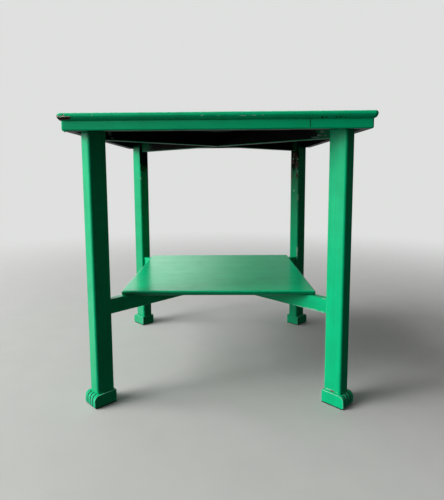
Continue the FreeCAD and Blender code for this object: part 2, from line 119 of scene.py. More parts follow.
def gloss_paint(name, turn=0.0, along=2, colour_scale=1.0, bare=(), scuffs=(), stained=()):
    """Alkyd gloss paint brushed on by hand: an even, saturated green with a soft sheen, faint ropy
    brush marks, a few nibs of dust, and chips through a pale undercoat to dark wood.
    The brush marks and the worn places lie in a frame turned about the table's middle, and
    colour_scale multiplies the paint's colour: painted light and shade where a piece is drawn
    lighter or darker than the others."""
    material, tree = new_material(name)

    def shade(tone):
        return [part * colour_scale for part in linear(PAINT[tone])[:3]] + [1.0]

    where = add(tree, "ShaderNodeTexCoord", out=3)
    turned = add(tree, "ShaderNodeMapping", {0: where, 2: (0, 0, -turn)})

    # Brush marks really sit 0.6 mm apart; they are drawn 3 mm apart so that they show.
    per_metre = [330.0, 330.0, 330.0]
    per_metre[along] = 9.0
    stretched = add(tree, "ShaderNodeMapping", {0: turned, 3: per_metre})
    marks = add(tree, "ShaderNodeTexNoise", {0: stretched, 2: 1.0, 3: 2.0, 4: 0.6})
    laps = add(tree, "ShaderNodeTexNoise", {
        0: add(tree, "ShaderNodeMapping", {0: turned, 3: [m / 9 for m in per_metre]}),
        2: 1.0, 3: 3.0, 4: 0.55})
    # Runs and sags of thick paint, 40 mm across.
    sags = add(tree, "ShaderNodeTexNoise", {0: where, 2: 24.0, 3: 2.0})
    nibs = add(tree, "ShaderNodeTexVoronoi", {0: where, 2: 70.0}, feature="F1")
    nib = add(tree, "ShaderNodeMapRange", {0: nibs, 1: 0.05, 2: 0.10, 3: 1.0, 4: 0.0})

    thickness = add(tree, "ShaderNodeMath", {
        0: add(tree, "ShaderNodeMath", {0: marks, 1: laps}, operation="ADD"), 1: sags},
        operation="ADD")
    thin = add(tree, "ShaderNodeMapRange", {0: thickness, 1: 1.15, 2: 1.5, 3: 1.0, 4: 0.0})
    thick = add(tree, "ShaderNodeMapRange", {0: thickness, 1: 1.5, 2: 1.85})
    colour = add(tree, "ShaderNodeMix", {0: thin, 6: shade("base"), 7: shade("thin")}, out=2,
                 data_type="RGBA")
    colour = add(tree, "ShaderNodeMix", {0: thick, 6: colour, 7: shade("thick")}, out=2,
                 data_type="RGBA")

    # Paint breaks away in bites about 4 mm across.
    ragged = add(tree, "ShaderNodeTexNoise", {0: where, 2: 260.0, 3: 3.0, 4: 0.65})
    ragged = add(tree, "ShaderNodeMapRange", {0: ragged, 1: 0.3, 2: 0.7, 3: -0.55, 4: 0.55})
    roughness = add(tree, "ShaderNodeMapRange", {0: thickness, 1: 1.1, 2: 1.9, 3: 0.27, 4: 0.19})
    height = add(tree, "ShaderNodeMath", {
        0: add(tree, "ShaderNodeMath", {0: marks, 1: 0.07}, operation="MULTIPLY"),
        1: add(tree, "ShaderNodeMath", {0: sags, 1: 0.32}, operation="MULTIPLY")},
        operation="ADD")
    height = add(tree, "ShaderNodeMath", {0: nib, 1: 0.10, 2: height}, operation="MULTIPLY_ADD")

    def lay(share, over, rough, drop):
        """Lays another finish over the paint so far, where share is 1."""
        nonlocal colour, roughness, height
        colour = add(tree, "ShaderNodeMix", {0: share, 6: colour, 7: over}, out=2,
                     data_type="RGBA")
        roughness = add(tree, "ShaderNodeMix", {0: share, 2: roughness, 3: rough})
        height = add(tree, "ShaderNodeMath", {0: share, 1: -drop, 2: height},
                     operation="MULTIPLY_ADD")

    if stained:
        lay(within(tree, turned, stained, ragged, 0.96, 1.04), GROUND["stain"], 0.85, 0.15)
    if scuffs:
        more_ragged = add(tree, "ShaderNodeMath", {0: ragged, 1: 1.4}, operation="MULTIPLY")
        lay(within(tree, turned, scuffs, more_ragged, 0.75, 0.95), GROUND["scuff"], 0.5, 0.05)
    if bare:
        lay(within(tree, turned, bare, ragged, 1.0, 1.04), GROUND["undercoat"], 0.6, 0.2)
        lay(within(tree, turned, bare, ragged, 0.91, 0.95), GROUND["wood"], 0.7, 0.2)

    bump = add(tree, "ShaderNodeBump", {0: 0.5, 1: MM, 3: height})
    shader = add(tree, "ShaderNodeBsdfPrincipled", {
        "Base Color": colour, "Roughness": roughness, "Normal": bump, "IOR": 1.48})
    add(tree, "ShaderNodeOutputMaterial", {0: shader})
    return material


def stained_wood(name, turn=0.0, along=0, brushed_over=(), scuffs=()):
    """Old oak stained black-brown and left unpainted: nearly black, a dull varnish sheen,
    open grain along the length, and green where the brush strayed over it."""
    material, tree = new_material(name)
    where = add(tree, "ShaderNodeTexCoord", out=3)
    turned = add(tree, "ShaderNodeMapping", {0: where, 2: (0, 0, -turn)})
    per_metre = [420.0, 420.0, 420.0]
    per_metre[along] = 14.0
    grain = add(tree, "ShaderNodeTexNoise", {
        0: add(tree, "ShaderNodeMapping", {0: turned, 3: per_metre}), 2: 1.0, 3: 4.0, 4: 0.7})
    cloud = add(tree, "ShaderNodeTexNoise", {0: where, 2: 18.0, 3: 3.0})
    worn = add(tree, "ShaderNodeMapRange", {
        0: add(tree, "ShaderNodeMath", {0: grain, 1: cloud}, operation="ADD"), 1: 0.95, 2: 1.35})
    colour = add(tree, "ShaderNodeMix", {
        0: worn, 6: GROUND["stain"], 7: GROUND["stain_worn"]}, out=2, data_type="RGBA")
    roughness = add(tree, "ShaderNodeMapRange", {0: cloud, 1: 0.3, 2: 0.7, 3: 0.38, 4: 0.55})
    ragged = add(tree, "ShaderNodeTexNoise", {0: where, 2: 150.0, 3: 4.0, 4: 0.7})
    ragged = add(tree, "ShaderNodeMapRange", {0: ragged, 1: 0.3, 2: 0.7, 3: -0.5, 4: 0.5})
    for places, over, rough, full in ((brushed_over, "brushed_over", 0.35, 0.55),
                                      (scuffs, "rail_scuff", 0.7, 0.1)):
        if places:
            share = within(tree, turned, places, ragged, full, 1.0)
            colour = add(tree, "ShaderNodeMix", {0: share, 6: colour, 7: GROUND[over]}, out=2,
                         data_type="RGBA")
            roughness = add(tree, "ShaderNodeMix", {0: share, 2: roughness, 3: rough})
    bump = add(tree, "ShaderNodeBump", {0: 0.4, 1: 0.3 * MM, 3: grain})
    shader = add(tree, "ShaderNodeBsdfPrincipled", {
        "Base Color": colour, "Roughness": roughness, "Normal": bump,
        "Specular IOR Level": 0.15})
    add(tree, "ShaderNodeOutputMaterial", {0: shader})
    return material


def plain_wood(name, light, dark, rough):
    """Wood with no finish: matt, with grain lines a few millimetres apart."""
    material, tree = new_material(name)
    where = add(tree, "ShaderNodeTexCoord", out=3)
    grain = add(tree, "ShaderNodeTexNoise", {
        0: add(tree, "ShaderNodeMapping", {0: where, 3: (300, 300, 40)}), 2: 1.0, 3: 4.0, 4: 0.7})
    share = add(tree, "ShaderNodeMapRange", {0: grain, 1: 0.35, 2: 0.65})
    colour = add(tree, "ShaderNodeMix", {0: share, 6: dark, 7: light}, out=2, data_type="RGBA")
    bump = add(tree, "ShaderNodeBump", {0: 0.6, 1: 0.4 * MM, 3: grain})
    shader = add(tree, "ShaderNodeBsdfPrincipled", {
        "Base Color": colour, "Roughness": rough, "Normal": bump})
    add(tree, "ShaderNodeOutputMaterial", {0: shader})
    return material


def rubbed(name, low, high, rough=0.35):
    """Gloss paint in two tones that mix in patches a few millimetres long: drawn pale on an arris
    as a painted highlight, or drawn dark in a groove or along a foot's bottom as a painted shade."""
    material, tree = new_material(name)
    where = add(tree, "ShaderNodeTexCoord", out=3)
    patches = add(tree, "ShaderNodeTexNoise", {0: where, 2: 160.0, 3: 3.0, 4: 0.6})
    share = add(tree, "ShaderNodeMapRange", {0: patches, 1: 0.34, 2: 0.58})
    colour = add(tree, "ShaderNodeMix", {0: share, 6: low, 7: high}, out=2, data_type="RGBA")
    bump = add(tree, "ShaderNodeBump", {0: 0.5, 1: 0.2 * MM, 3: patches})
    shader = add(tree, "ShaderNodeBsdfPrincipled", {
        "Base Color": colour, "Roughness": rough, "Normal": bump, "IOR": 1.48})
    add(tree, "ShaderNodeOutputMaterial", {0: shader})
    return material


def dull_steel(name):
    """Bright-drawn steel gone grey: metallic, softly blurred, with small brown rust freckles."""
    material, tree = new_material(name)
    where = add(tree, "ShaderNodeTexCoord", out=3)
    freckles = add(tree, "ShaderNodeTexNoise", {0: where, 2: 900.0, 3: 3.0})
    rust = add(tree, "ShaderNodeMapRange", {0: freckles, 1: 0.52, 2: 0.62})
    colour = add(tree, "ShaderNodeMix", {0: rust, 6: "#8E8B86", 7: "#5A3A28"}, out=2,
                 data_type="RGBA")
    metallic = add(tree, "ShaderNodeMapRange", {0: rust, 3: 1.0, 4: 0.1})
    roughness = add(tree, "ShaderNodeMapRange", {0: rust, 3: 0.38, 4: 0.8})
    shader = add(tree, "ShaderNodeBsdfPrincipled", {
        "Base Color": colour, "Metallic": metallic, "Roughness": roughness})
    add(tree, "ShaderNodeOutputMaterial", {0: shader})
    return material


# --- Modelling by hand

def take(piece):
    """Leaves only this piece selected and active, in object mode."""
    if bpy.context.mode != "OBJECT":
        bpy.ops.object.mode_set(mode="OBJECT")
    bpy.ops.object.select_all(action="DESELECT")
    piece.select_set(True)
    bpy.context.view_layer.objects.active = piece


def pick(piece, kind, chosen):
    """Opens the piece in edit mode with only the chosen vertices, edges or polygons selected."""
    take(piece)
    mesh = piece.data
    for part in (*mesh.vertices, *mesh.edges, *mesh.polygons):
        part.select = False
    for part in getattr(mesh, kind):
        part.select = bool(chosen(part))
    bpy.context.tool_settings.mesh_select_mode = [
        kind == "vertices", kind == "edges", kind == "polygons"]
    bpy.ops.object.mode_set(mode="EDIT")


def ends(piece, edge):
    return [piece.data.vertices[i].co for i in edge.vertices]


def runs(piece, edge, axis):
    """True for an edge that runs along the axis numbered 0, 1 or 2."""
    a, b = ends(piece, edge)
    return abs((b - a)[axis]) > 0.999 * (b - a).length


def middle(piece, edge):
    a, b = ends(piece, edge)
    return (a + b) / 2


def block(name, size, centre=(0, 0, 0)):
    bpy.ops.object.select_all(action="DESELECT")
    bpy.ops.mesh.primitive_cube_add(size=1, location=centre)
    piece = bpy.context.object
    piece.name = name
    piece.scale = size
    bpy.ops.object.transform_apply(location=True, rotation=True, scale=True)
    return piece


def give(piece, *materials):
    """Gives the piece its finishes, numbered from 0; every face starts with the first."""
    for material in materials:
        piece.data.materials.append(material)


def round_edges(piece, chosen, radius, segments=6, material=-1, profile=0.5):
    """Bevels the chosen edges; a profile of 0.5 is a quarter round and 0.25 is a flat slope."""
    pick(piece, "edges", chosen)
    bpy.ops.mesh.bevel(offset=radius, offset_type="OFFSET", segments=segments, profile=profile,
                       affect="EDGES", clamp_overlap=True, material=material)
    bpy.ops.object.mode_set(mode="OBJECT")


def paint_faces(piece, slot, chosen):
    """Gives the chosen faces the piece's finish of that number."""
    pick(piece, "polygons", chosen)
    piece.active_material_index = slot
    bpy.ops.object.material_slot_assign()
    bpy.ops.object.mode_set(mode="OBJECT")


def lump(name, centre, half, seed, material):
    """A lumpy ball for breaking a chip out of a piece; centre and half sizes in millimetres."""
    bpy.ops.object.select_all(action="DESELECT")
    bpy.ops.mesh.primitive_ico_sphere_add(subdivisions=3, radius=1)
    ball = bpy.context.object
    ball.name = name
    bpy.ops.object.mode_set(mode="EDIT")
    bpy.ops.mesh.select_all(action="SELECT")
    bpy.ops.transform.vertex_random(offset=0.22, seed=seed)
    bpy.ops.mesh.subdivide(number_cuts=1, smoothness=0.4)
    bpy.ops.object.mode_set(mode="OBJECT")
    ball.scale = [h * MM for h in half]
    ball.location = [c * MM for c in centre]
    bpy.ops.object.transform_apply(location=True, rotation=True, scale=True)
    give(ball, material)
    return ball


def chip(piece, material, places):
    """Breaks chips out of the piece, which leave this material showing."""
    for number, (centre, half) in enumerate(places):
        cut_away(piece, lump(f"chip_{number}", centre, half, number + 3, material))


def settle(piece, degrees, place):
    """Turns the piece about +Z, moves it to its place, and leaves its object at the origin."""
    take(piece)
    piece.rotation_euler.z = math.radians(degrees)
    piece.location = place
    bpy.ops.object.transform_apply(location=True, rotation=True, scale=True)


def use_modifier(piece, kind, **settings):
    take(piece)
    modifier = piece.modifiers.new(kind.title(), kind)
    for name, value in settings.items():
        setattr(modifier, name, value)
    bpy.ops.object.modifier_apply(modifier=modifier.name)


def cut_away(piece, tool):
    use_modifier(piece, "BOOLEAN", object=tool, operation="DIFFERENCE", solver="EXACT",
                 material_mode="TRANSFER")
    bpy.data.objects.remove(tool)


def finished(piece, nodes, sharp=32):
    """Smooths the shading and hands the piece to the frame."""
    take(piece)
    bpy.ops.object.shade_smooth_by_angle(angle=math.radians(sharp))
    use_modifier(piece, "WEIGHTED_NORMAL", keep_sharp=True)
    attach(piece, BODY)
    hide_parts(*nodes)
    return piece


# --- Sizes of the pieces, in metres, from the frame where a piece lies square to it

top_low, top_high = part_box("top_board_1")[0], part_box("top_board_5")[1]
TOP_FOOT, TOP_FACE = top_low.z, top_high.z
TOP_SIZE = top_high.x - top_low.x
NOSING_ROUND, NOSING_SLOPE, NOSING_CORNER = 7.5 * MM, 9.6 * MM, 10.2 * MM
BOARD_JOINTS = [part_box(f"top_board_{i}")[1].x for i in range(1, 5)]
# Board joints as (width, depth): nearly filled by the paint above, and open in the stain below.
SEAM_ABOVE, SEAM_BELOW = (0.7 * MM, 0.35 * MM), (1.2 * MM, 1.2 * MM)
fascia_low, fascia_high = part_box("fascia_back")
FASCIA_FOOT, FASCIA_HALF = fascia_low.z, fascia_high.y
FASCIA_THICK = 22 * MM
FASCIA_ROUND = 4 * MM
FASCIA_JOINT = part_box("fascia_front_long")[1].x
JOINT_VEE, JOINT_FILLED = 1.1 * MM, 4 * MM
LEG_DEPTH, LEG_WIDTH, LEG_ROUND = 48 * MM, 37.6 * MM, 6 * MM
FOOT_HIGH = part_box("foot_back_right")[1].z
FOOT_OUT, FOOT_IN, FOOT_SIDE = 12 * MM, 2 * MM, 6 * MM
TOE_ROUND, UNDER_TOE_ROUND, HEEL_ROUND, FOOT_ARRIS = 13 * MM, 6.5 * MM, 2.5 * MM, 1.3 * MM
REED = 12 * MM
# A groove between two reeds, as (distance from its middle line, depth there).
GROOVE = [(3.6 * MM, 0), (2.6 * MM, 0), (1.9 * MM, 0.7 * MM), (1.0 * MM, 1.7 * MM), (0, 2.1 * MM)]
GROOVE_HALF, LIP_HALF = 1.9 * MM, 3.6 * MM
# A painted contact shadow lies along the bottom of each foot, this high.
CONTACT_SHADOW_HIGH = 3 * MM
leg_low, leg_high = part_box("leg_back_right")
LEG_OUT = (leg_low.x + leg_high.x) / 2
RAIL_THICK, RAIL_HIGH, RAIL_ROUND = 20 * MM, 38 * MM, 1.6 * MM
RAIL_HALF = LEG_OUT * math.sqrt(2) - LEG_DEPTH / 2
# A rail runs on a little into each leg, so that no gap can show at the shoulder.
INTO_LEG = 0.5 * MM
shelf_low, shelf_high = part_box("shelf")
SHELF_ROUND = 4.5 * MM
# Each corner as (degrees from +X of its diagonal, sign of x, sign of y).
CORNERS = {"back_right": (45, 1, 1), "back_left": (135, -1, 1),
           "front_left": (225, -1, -1), "front_right": (315, 1, -1)}


# --- The pieces

def make_top(paint, bare, worn):
    """The slab with its round nosing, sloped below, and its board joints faintly open."""
    size = TOP_SIZE, TOP_SIZE, TOP_FACE - TOP_FOOT
    slab = block("painted_top", size, (0, 0, (TOP_FACE + TOP_FOOT) / 2))
    give(slab, paint, bare, worn)

    def rim(level):
        return lambda edge: (not runs(slab, edge, 2)
                             and abs(middle(slab, edge).z - level) < 0.1 * MM)

    round_edges(slab, lambda edge: runs(slab, edge, 2), NOSING_CORNER, segments=6)
    round_edges(slab, rim(TOP_FOOT), NOSING_SLOPE, segments=5, profile=0.38)
    round_edges(slab, rim(TOP_FACE), NOSING_ROUND, segments=7)
    # The underside is unpainted, and the first faces over the top edge are drawn pale: a painted
    # highlight.
    paint_faces(slab, 1, lambda face: face.normal.z < -0.99)
    paint_faces(slab, 2, lambda face: 0.82 < face.normal.z < 0.999)
    for joint in BOARD_JOINTS:
        for level, (wide, deep), lining in ((TOP_FACE, SEAM_ABOVE, paint),
                                            (TOP_FOOT, SEAM_BELOW, bare)):
            seam = block("seam", (wide, TOP_SIZE * 1.1, 2 * deep), (joint, 0, level))
            give(seam, lining)
            cut_away(slab, seam)
    return slab


def make_fascia(paint, bare):
    """The frame of strips under the top, parted at its mitres and at the front butt joint."""
    high = TOP_FOOT - FASCIA_FOOT
    centre = (0, 0, FASCIA_FOOT + high / 2)
    ring = block("fascia_ring", (2 * FASCIA_HALF, 2 * FASCIA_HALF, high), centre)
    give(ring, paint["across"], bare)

    def on_outside(edge):
        return runs(ring, edge, 2) or middle(ring, edge).z < FASCIA_FOOT + MM

    round_edges(ring, on_outside, FASCIA_ROUND, segments=6)
    paint_faces(ring, 1, lambda face: face.normal.z < -0.99)
    inside = 2 * (FASCIA_HALF - FASCIA_THICK)
    hollow = block("fascia_hollow", (inside, inside, high * 2), centre)
    give(hollow, bare)
    cut_away(ring, hollow)
    strips = []
    cuts = {"fascia_front_long": ("across", ((1, 1), (-1, 1)), (1, FASCIA_JOINT)),
            "fascia_front_short": ("across", ((1, 1), (-1, 1)), (-1, FASCIA_JOINT)),
            "fascia_back": ("across", ((1, -1), (-1, -1)), None),
            "fascia_left": ("along", ((1, 1), (1, -1)), None),
            "fascia_right": ("along", ((-1, 1), (-1, -1)), None)}
    for node, (run, mitres, butt) in cuts.items():
        take(ring)
        bpy.ops.object.duplicate()
        strip = bpy.context.object
        strip.name = f"painted_{node}"
        strip.data.materials[0] = paint[run]
        planes = [((0, 0, 0), (x, y, 0)) for x, y in mitres]
        if butt:
            planes.append(((butt[1], 0, 0), (butt[0], 0, 0)))
        for point, normal in planes:
            pick(strip, "polygons", lambda face: True)
            bpy.ops.mesh.bisect(plane_co=point, plane_no=normal, use_fill=True,
                                clear_outer=True, clear_inner=False)
        bpy.ops.object.mode_set(mode="OBJECT")
        if butt:
            vee = block("vee", (JOINT_VEE, JOINT_VEE, high))
            give(vee, bare)
            settle(vee, 45, (FASCIA_JOINT, -FASCIA_HALF, FASCIA_FOOT + high / 2 + JOINT_FILLED))
            cut_away(strip, vee)
        strips.append((strip, node))
    bpy.data.objects.remove(ring)
    return strips


def make_leg(corner, paint):
    degrees, x, y = CORNERS[corner]
    post = block(f"painted_leg_{corner}", (LEG_DEPTH, LEG_WIDTH, TOP_FOOT - FOOT_HIGH),
                 (0, 0, (TOP_FOOT + FOOT_HIGH) / 2))
    give(post, paint)
    round_edges(post, lambda edge: runs(post, edge, 2), LEG_ROUND, segments=6)
    settle(post, degrees, (x * LEG_OUT, y * LEG_OUT, 0))
    return post


def make_foot(corner, paint, arris, lip_highlight, groove, contact_shadow):
    """A block with a round reeded toe, its arrises and lips drawn pale as a painted highlight, its
    grooves drawn dark as a painted shade and its bottom drawn dark as a painted contact shadow;
    drawn along +X, which points out along the diagonal."""
    degrees, x, y = CORNERS[corner]
    inner, toe = -LEG_DEPTH / 2 - FOOT_IN, LEG_DEPTH / 2 + FOOT_OUT
    wide = LEG_WIDTH + 2 * FOOT_SIDE
    foot = block(f"painted_foot_{corner}", (toe - inner, wide, FOOT_HIGH),
                 ((toe + inner) / 2, 0, FOOT_HIGH / 2))
    finishes = paint, arris, lip_highlight, groove, contact_shadow
    give(foot, *finishes)

    def crossing(outer, upper):
        return lambda edge: (runs(foot, edge, 1) and (middle(foot, edge).x > 0) == outer
                             and (middle(foot, edge).z > FOOT_HIGH / 2) == upper)

    round_edges(foot, crossing(True, True), TOE_ROUND, segments=9)
    round_edges(foot, crossing(True, False), UNDER_TOE_ROUND, segments=6)
    round_edges(foot, crossing(False, True), HEEL_ROUND, segments=4)
    round_edges(foot, crossing(False, False), HEEL_ROUND, segments=4)

    def round_the_side(edge):
        return (not runs(foot, edge, 1)
                and all(abs(abs(end.y) - wide / 2) < 0.01 * MM for end in ends(foot, edge)))

    # The side arrises are drawn pale: a painted highlight.
    round_edges(foot, round_the_side, FOOT_ARRIS, segments=3, material=finishes.index(arris))

    grooves = -REED, 0, REED
    steps = sorted({side * across for across, _ in GROOVE for side in (-1, 1)})
    cuts = [((0, place + step, 0), (0, 1, 0)) for place in grooves for step in steps]
    for point, normal in (*cuts, ((0, 0, CONTACT_SHADOW_HIGH), (0, 0, 1))):
        pick(foot, "polygons", lambda face: True)
        bpy.ops.mesh.bisect(plane_co=point, plane_no=normal)
        bpy.ops.object.mode_set(mode="OBJECT")

    reeded = toe - TOE_ROUND - 0.2 * MM
    # The lips beside each groove are drawn pale, a painted highlight, and the grooves dark, a
    # painted shade.
    for finish, near, far in ((lip_highlight, GROOVE_HALF, LIP_HALF), (groove, 0, GROOVE_HALF)):
        paint_faces(foot, finishes.index(finish), lambda face: (
            face.center.x > reeded and abs(face.normal.y) < 0.5
            and any(near < abs(face.center.y - place) < far for place in grooves)))
    # The bottom few millimetres are drawn dark: a painted contact shadow.
    paint_faces(foot, finishes.index(contact_shadow), lambda face: face.center.z < CONTACT_SHADOW_HIGH)

    for across, depth in GROOVE:
        if depth:
            lines = [place + side * across for place in grooves for side in (-1, 1)]
            pick(foot, "vertices", lambda v: v.co.x > reeded and v.co.z > 0.5 * MM
                 and any(abs(v.co.y - line) < 0.05 * MM for line in lines))
            bpy.ops.transform.shrink_fatten(value=-depth)
            bpy.ops.object.mode_set(mode="OBJECT")
    settle(foot, degrees, (x * LEG_OUT, y * LEG_OUT, 0))
    return foot


def make_rail(name, degrees, foot, notch_on_top, material, arris):
    """A straight bar from leg to leg, halved over its partner in the middle, with a finish of its
    own on the lower arrises."""
    bar = block(name, (2 * (RAIL_HALF + INTO_LEG), RAIL_THICK, RAIL_HIGH),
                (0, 0, foot + RAIL_HIGH / 2))
    give(bar, material, arris)

    def along(upper):
        return lambda edge: (runs(bar, edge, 0)
                             and (middle(bar, edge).z > foot + RAIL_HIGH / 2) == upper)

    round_edges(bar, along(True), RAIL_ROUND, segments=4)
    round_edges(bar, along(False), RAIL_ROUND, segments=4, material=1)
    quarter = 0.75 if notch_on_top else 0.25
    notch = block("notch", (RAIL_THICK + 0.2 * MM, 2 * RAIL_THICK, RAIL_HIGH / 2 + 2 * MM),
                  (0, 0, foot + RAIL_HIGH * quarter + (1 if notch_on_top else -1) * MM))
    give(notch, material)
    cut_away(bar, notch)
    settle(bar, degrees, (0, 0, 0))
    return bar


def make_shelf(paint, dull):
    """A thin board, its edge rounded above and below, and drawn darker where it faces out and
    down: a painted shade.
    """
    size = [shelf_high[i] - shelf_low[i] for i in range(3)]
    board = block("painted_shelf", size, (shelf_low + shelf_high) / 2)
    give(board, paint, dull)
    round_edges(board, lambda edge: True, SHELF_ROUND, segments=6)
    paint_faces(board, 1, lambda face: -0.98 < face.normal.z < 0.5)
    return board


# --- Wear, each place as (middle, half sizes) in millimetres

NOSING_CHIPS = [((-346, -361.2, 706.0), (18, 4.0, 4.4)), ((-358.5, -358.5, 706.2), (6, 6, 4.8)),
                ((-334, -362.4, 708.2), (7, 2.4, 2.0)), ((363.6, -354.5, 710.0), (3.8, 9.0, 6.0))]
NOSING_FLAKES = [((-361.2, -361.2, 711.5), (4.2, 4.2, 4.2)),
                 ((-350, -364.4, 711.4), (9, 2.2, 2.3)), ((-336, -364.2, 710.6), (9, 1.8, 1.6)),
                 ((-345, -363.6, 716.0), (1.9, 1.9, 3.2))]
NOSING_SPOTS = [((237, -358.5, 705), (2.2, 4, 1.9)), ((246, -358.5, 705), (1.7, 4, 1.5)),
                ((268, -358.5, 705), (1.7, 4, 1.3)), ((277, -358.5, 705), (1.9, 4, 1.4)),
                ((289, -358.5, 705), (1.5, 4, 1.2))]
NOSING_SCRATCHES = [((-279.6, -363.2, 712.8), (1.8, 2.0, 1.3)),
                    ((-32.4, -363.4, 710.6), (2.6, 2.0, 1.0)),
                    ((6, -363.5, 710.0), (5, 2.0, 0.5)), ((60, -363.5, 709.6), (10, 2.0, 0.8)),
                    ((82, -363.5, 709.9), (9, 2.0, 0.7)), ((103, -363.5, 710.3), (7, 2.0, 0.6))]
# How light or dark each leg's and foot's paint is drawn: painted light and shade, lighter at the
# front right and darker at the back, where the light falls unevenly.
PAINTED_LIGHT_SCALES = {"back_right": 0.66, "back_left": 0.80, "front_left": 0.92, "front_right": 1.14}
# Wear on legs and rails is placed as (out along the diagonal, across it, up).
LEG_WEAR = {
    "back_right": {"stained": [((397.5, 0, 650), (3, 60, 60)), ((397.5, 17, 600), (3, 6, 38)),
                               ((421, -18, 700), (60, 6, 24))],
                   "bare": [((397.5, 7, 624), (2.5, 5, 7)), ((397.5, -12, 611), (2.5, 6, 13)),
                            ((397.5, 3, 649), (2.5, 3.5, 8)), ((397.5, -9, 638), (2.5, 4.5, 6)),
                            ((397.5, -12, 572), (2.5, 4.5, 12)),
                            ((397.5, 14, 571), (2.5, 4, 12))],
                   "scuffs": [((397.5, -15, 633), (2, 3, 4)), ((397.5, 6, 635), (2, 3.5, 3)),
                              ((397.5, -9, 600), (2, 3, 6)), ((397.5, -13, 588), (2, 3, 4)),
                              ((397.5, 1, 517), (2, 3, 3)),
                              ((398.5, -17.5, 490), (2.5, 3, 13)),
                              ((398.5, -17.5, 286), (3.5, 3.5, 24))]},
    "back_left": {"stained": [((397.5, 0, 658), (3, 60, 62)), ((397.5, -18, 590), (3, 5, 60)),
                              # The top of the outer face is drawn in the dark stain: partly
                              # unpainted wood, partly a painted shade under the top.
                              ((421, 18, 704), (60, 6, 22))],
                  "scuffs": [((398.5, 17.5, 565), (2.5, 3.5, 6))]},
    "front_left": {"scuffs": [((398, 13.4, 679), (5, 5, 7))]},
    "front_right": {"bare": [((423.3, -18.0, 35.6), (6.5, 4, 1.9))],
                    "scuffs": [((418.6, -18.4, 37), (14, 4, 1.6))]}}
OVERBRUSHED = {
    "front_right_to_back_left": {
        "brushed_over": [((397, 10, 680), (62, 5, 60)), ((-397, 10, 680), (48, 5, 50))],
        "scuffs": [((-374, 10, 681), (6, 4, 4)), ((-365, 10, 673), (7, 4, 3)),
                   ((-381, 10, 671), (5, 4, 3)), ((-354, 10, 668.5), (9, 4, 2.5))]},
    "front_left_to_back_right": {
        "brushed_over": [((-397, -10, 690), (9, 5, 18)), ((397, -10, 680), (30, 5, 60))],
        "scuffs": [((-383, -10, 682), (8, 4, 8)), ((-376, -10, 670), (9, 4, 3))]}}
RUBBED_RAILS = {
    "front_right_to_back_left": {"scuffs": [((-350, 10, 229), (50, 3, 2.6)),
                                            # The short pale mark on the upper arris near the leg
                                            # is worn paint and, in part, a painted highlight.
                                            ((-386, 10, 265.6), (11, 1.4, 0.7)),
                                            ((345, 10, 229), (30, 2.4, 1.6))]},
    "front_left_to_back_right": {"scuffs": [((-372, 10, 228.6), (20, 2.4, 1.2)),
                                            ((372, 10, 228.6), (24, 2.4, 1.2))]}}


BEAD_RADIUS = 2.3 * MM
BEAD_AT = -347.2 * MM, -FASCIA_HALF + 3 * MM, FASCIA_FOOT + 0.4 * MM


def make_bead(strip):
    """A run of paint that set as it hung from the fascia, made one with its strip."""
    bpy.ops.object.select_all(action="DESELECT")
    bpy.ops.mesh.primitive_uv_sphere_add(segments=20, ring_count=12, radius=BEAD_RADIUS,
                                         location=BEAD_AT)
    bead = bpy.context.object
    bead.scale = 1.3, 1.0, 1.4
    bpy.ops.object.transform_apply(location=True, rotation=True, scale=True)
    # The tip is drawn out where the paint gathered.
    pick(bead, "vertices", lambda v: v.co.z < FASCIA_FOOT - 1.5 * MM)
    bpy.ops.transform.resize(value=(0.8, 0.8, 1.15))
    bpy.ops.object.mode_set(mode="OBJECT")
    give(bead, strip.data.materials[0])
    use_modifier(strip, "BOOLEAN", object=bead, operation="UNION", solver="EXACT",
                 material_mode="TRANSFER")
    bpy.data.objects.remove(bead)


# --- Materials and pieces put together

stain_under = stained_wood("stained_oak_underside", along=1)
chipped = plain_wood("chipped_stained_oak", "#3B211A", "#0E0706", 0.6)
flaked = plain_wood("flaked_undercoat", "#E6DFD3", "#9A7F6E", 0.7)
top = make_top(gloss_paint("gloss_paint_top", along=1, scuffs=NOSING_SCRATCHES,
                           stained=NOSING_SPOTS), stain_under,
               rubbed("rubbed_top_arris", "#14B880", "#93E0C4", rough=0.3))
chip(top, flaked, NOSING_FLAKES)
chip(top, chipped, NOSING_CHIPS)
finished(top, [f"top_board_{i}" for i in range(1, 6)])

fascia_paint = {"across": gloss_paint("gloss_paint_fascia_across", along=0),
                "along": gloss_paint("gloss_paint_fascia_along", along=1)}
for strip, node in make_fascia(fascia_paint, stain_under):
    if node == "fascia_front_long":
        make_bead(strip)
    finished(strip, [node])

# Pale paint on the feet's arrises and reed lips is a painted highlight; dark paint in the grooves
# is a painted shade, and along the bottoms a painted contact shadow.
highlight_paint = rubbed("rubbed_gloss_paint", "#20C08B", "#93E0C3")
groove_shade_paint = rubbed("painted_shade_gloss_paint", "#05523A", "#032A1C", rough=0.7)
reed_highlight_paint = rubbed("rubbed_gloss_paint_reeds", "#0DBB80", "#4FCEA0")
contact_shadow_paint = rubbed("painted_contact_shadow_on_paint", "#04281B", "#020B07", rough=0.85)
for corner, (degrees, _, _) in CORNERS.items():
    colour_scale = PAINTED_LIGHT_SCALES[corner]
    leg_paint = gloss_paint(f"gloss_paint_leg_{corner}", along=2, turn=math.radians(degrees),
                            colour_scale=colour_scale, **LEG_WEAR[corner])
    foot_paint = gloss_paint(f"gloss_paint_foot_{corner}", along=2, colour_scale=colour_scale)
    finished(make_leg(corner, leg_paint), [f"leg_{corner}"])
    finished(make_foot(corner, foot_paint, highlight_paint, reed_highlight_paint, groove_shade_paint, contact_shadow_paint),
             [f"foot_{corner}"])

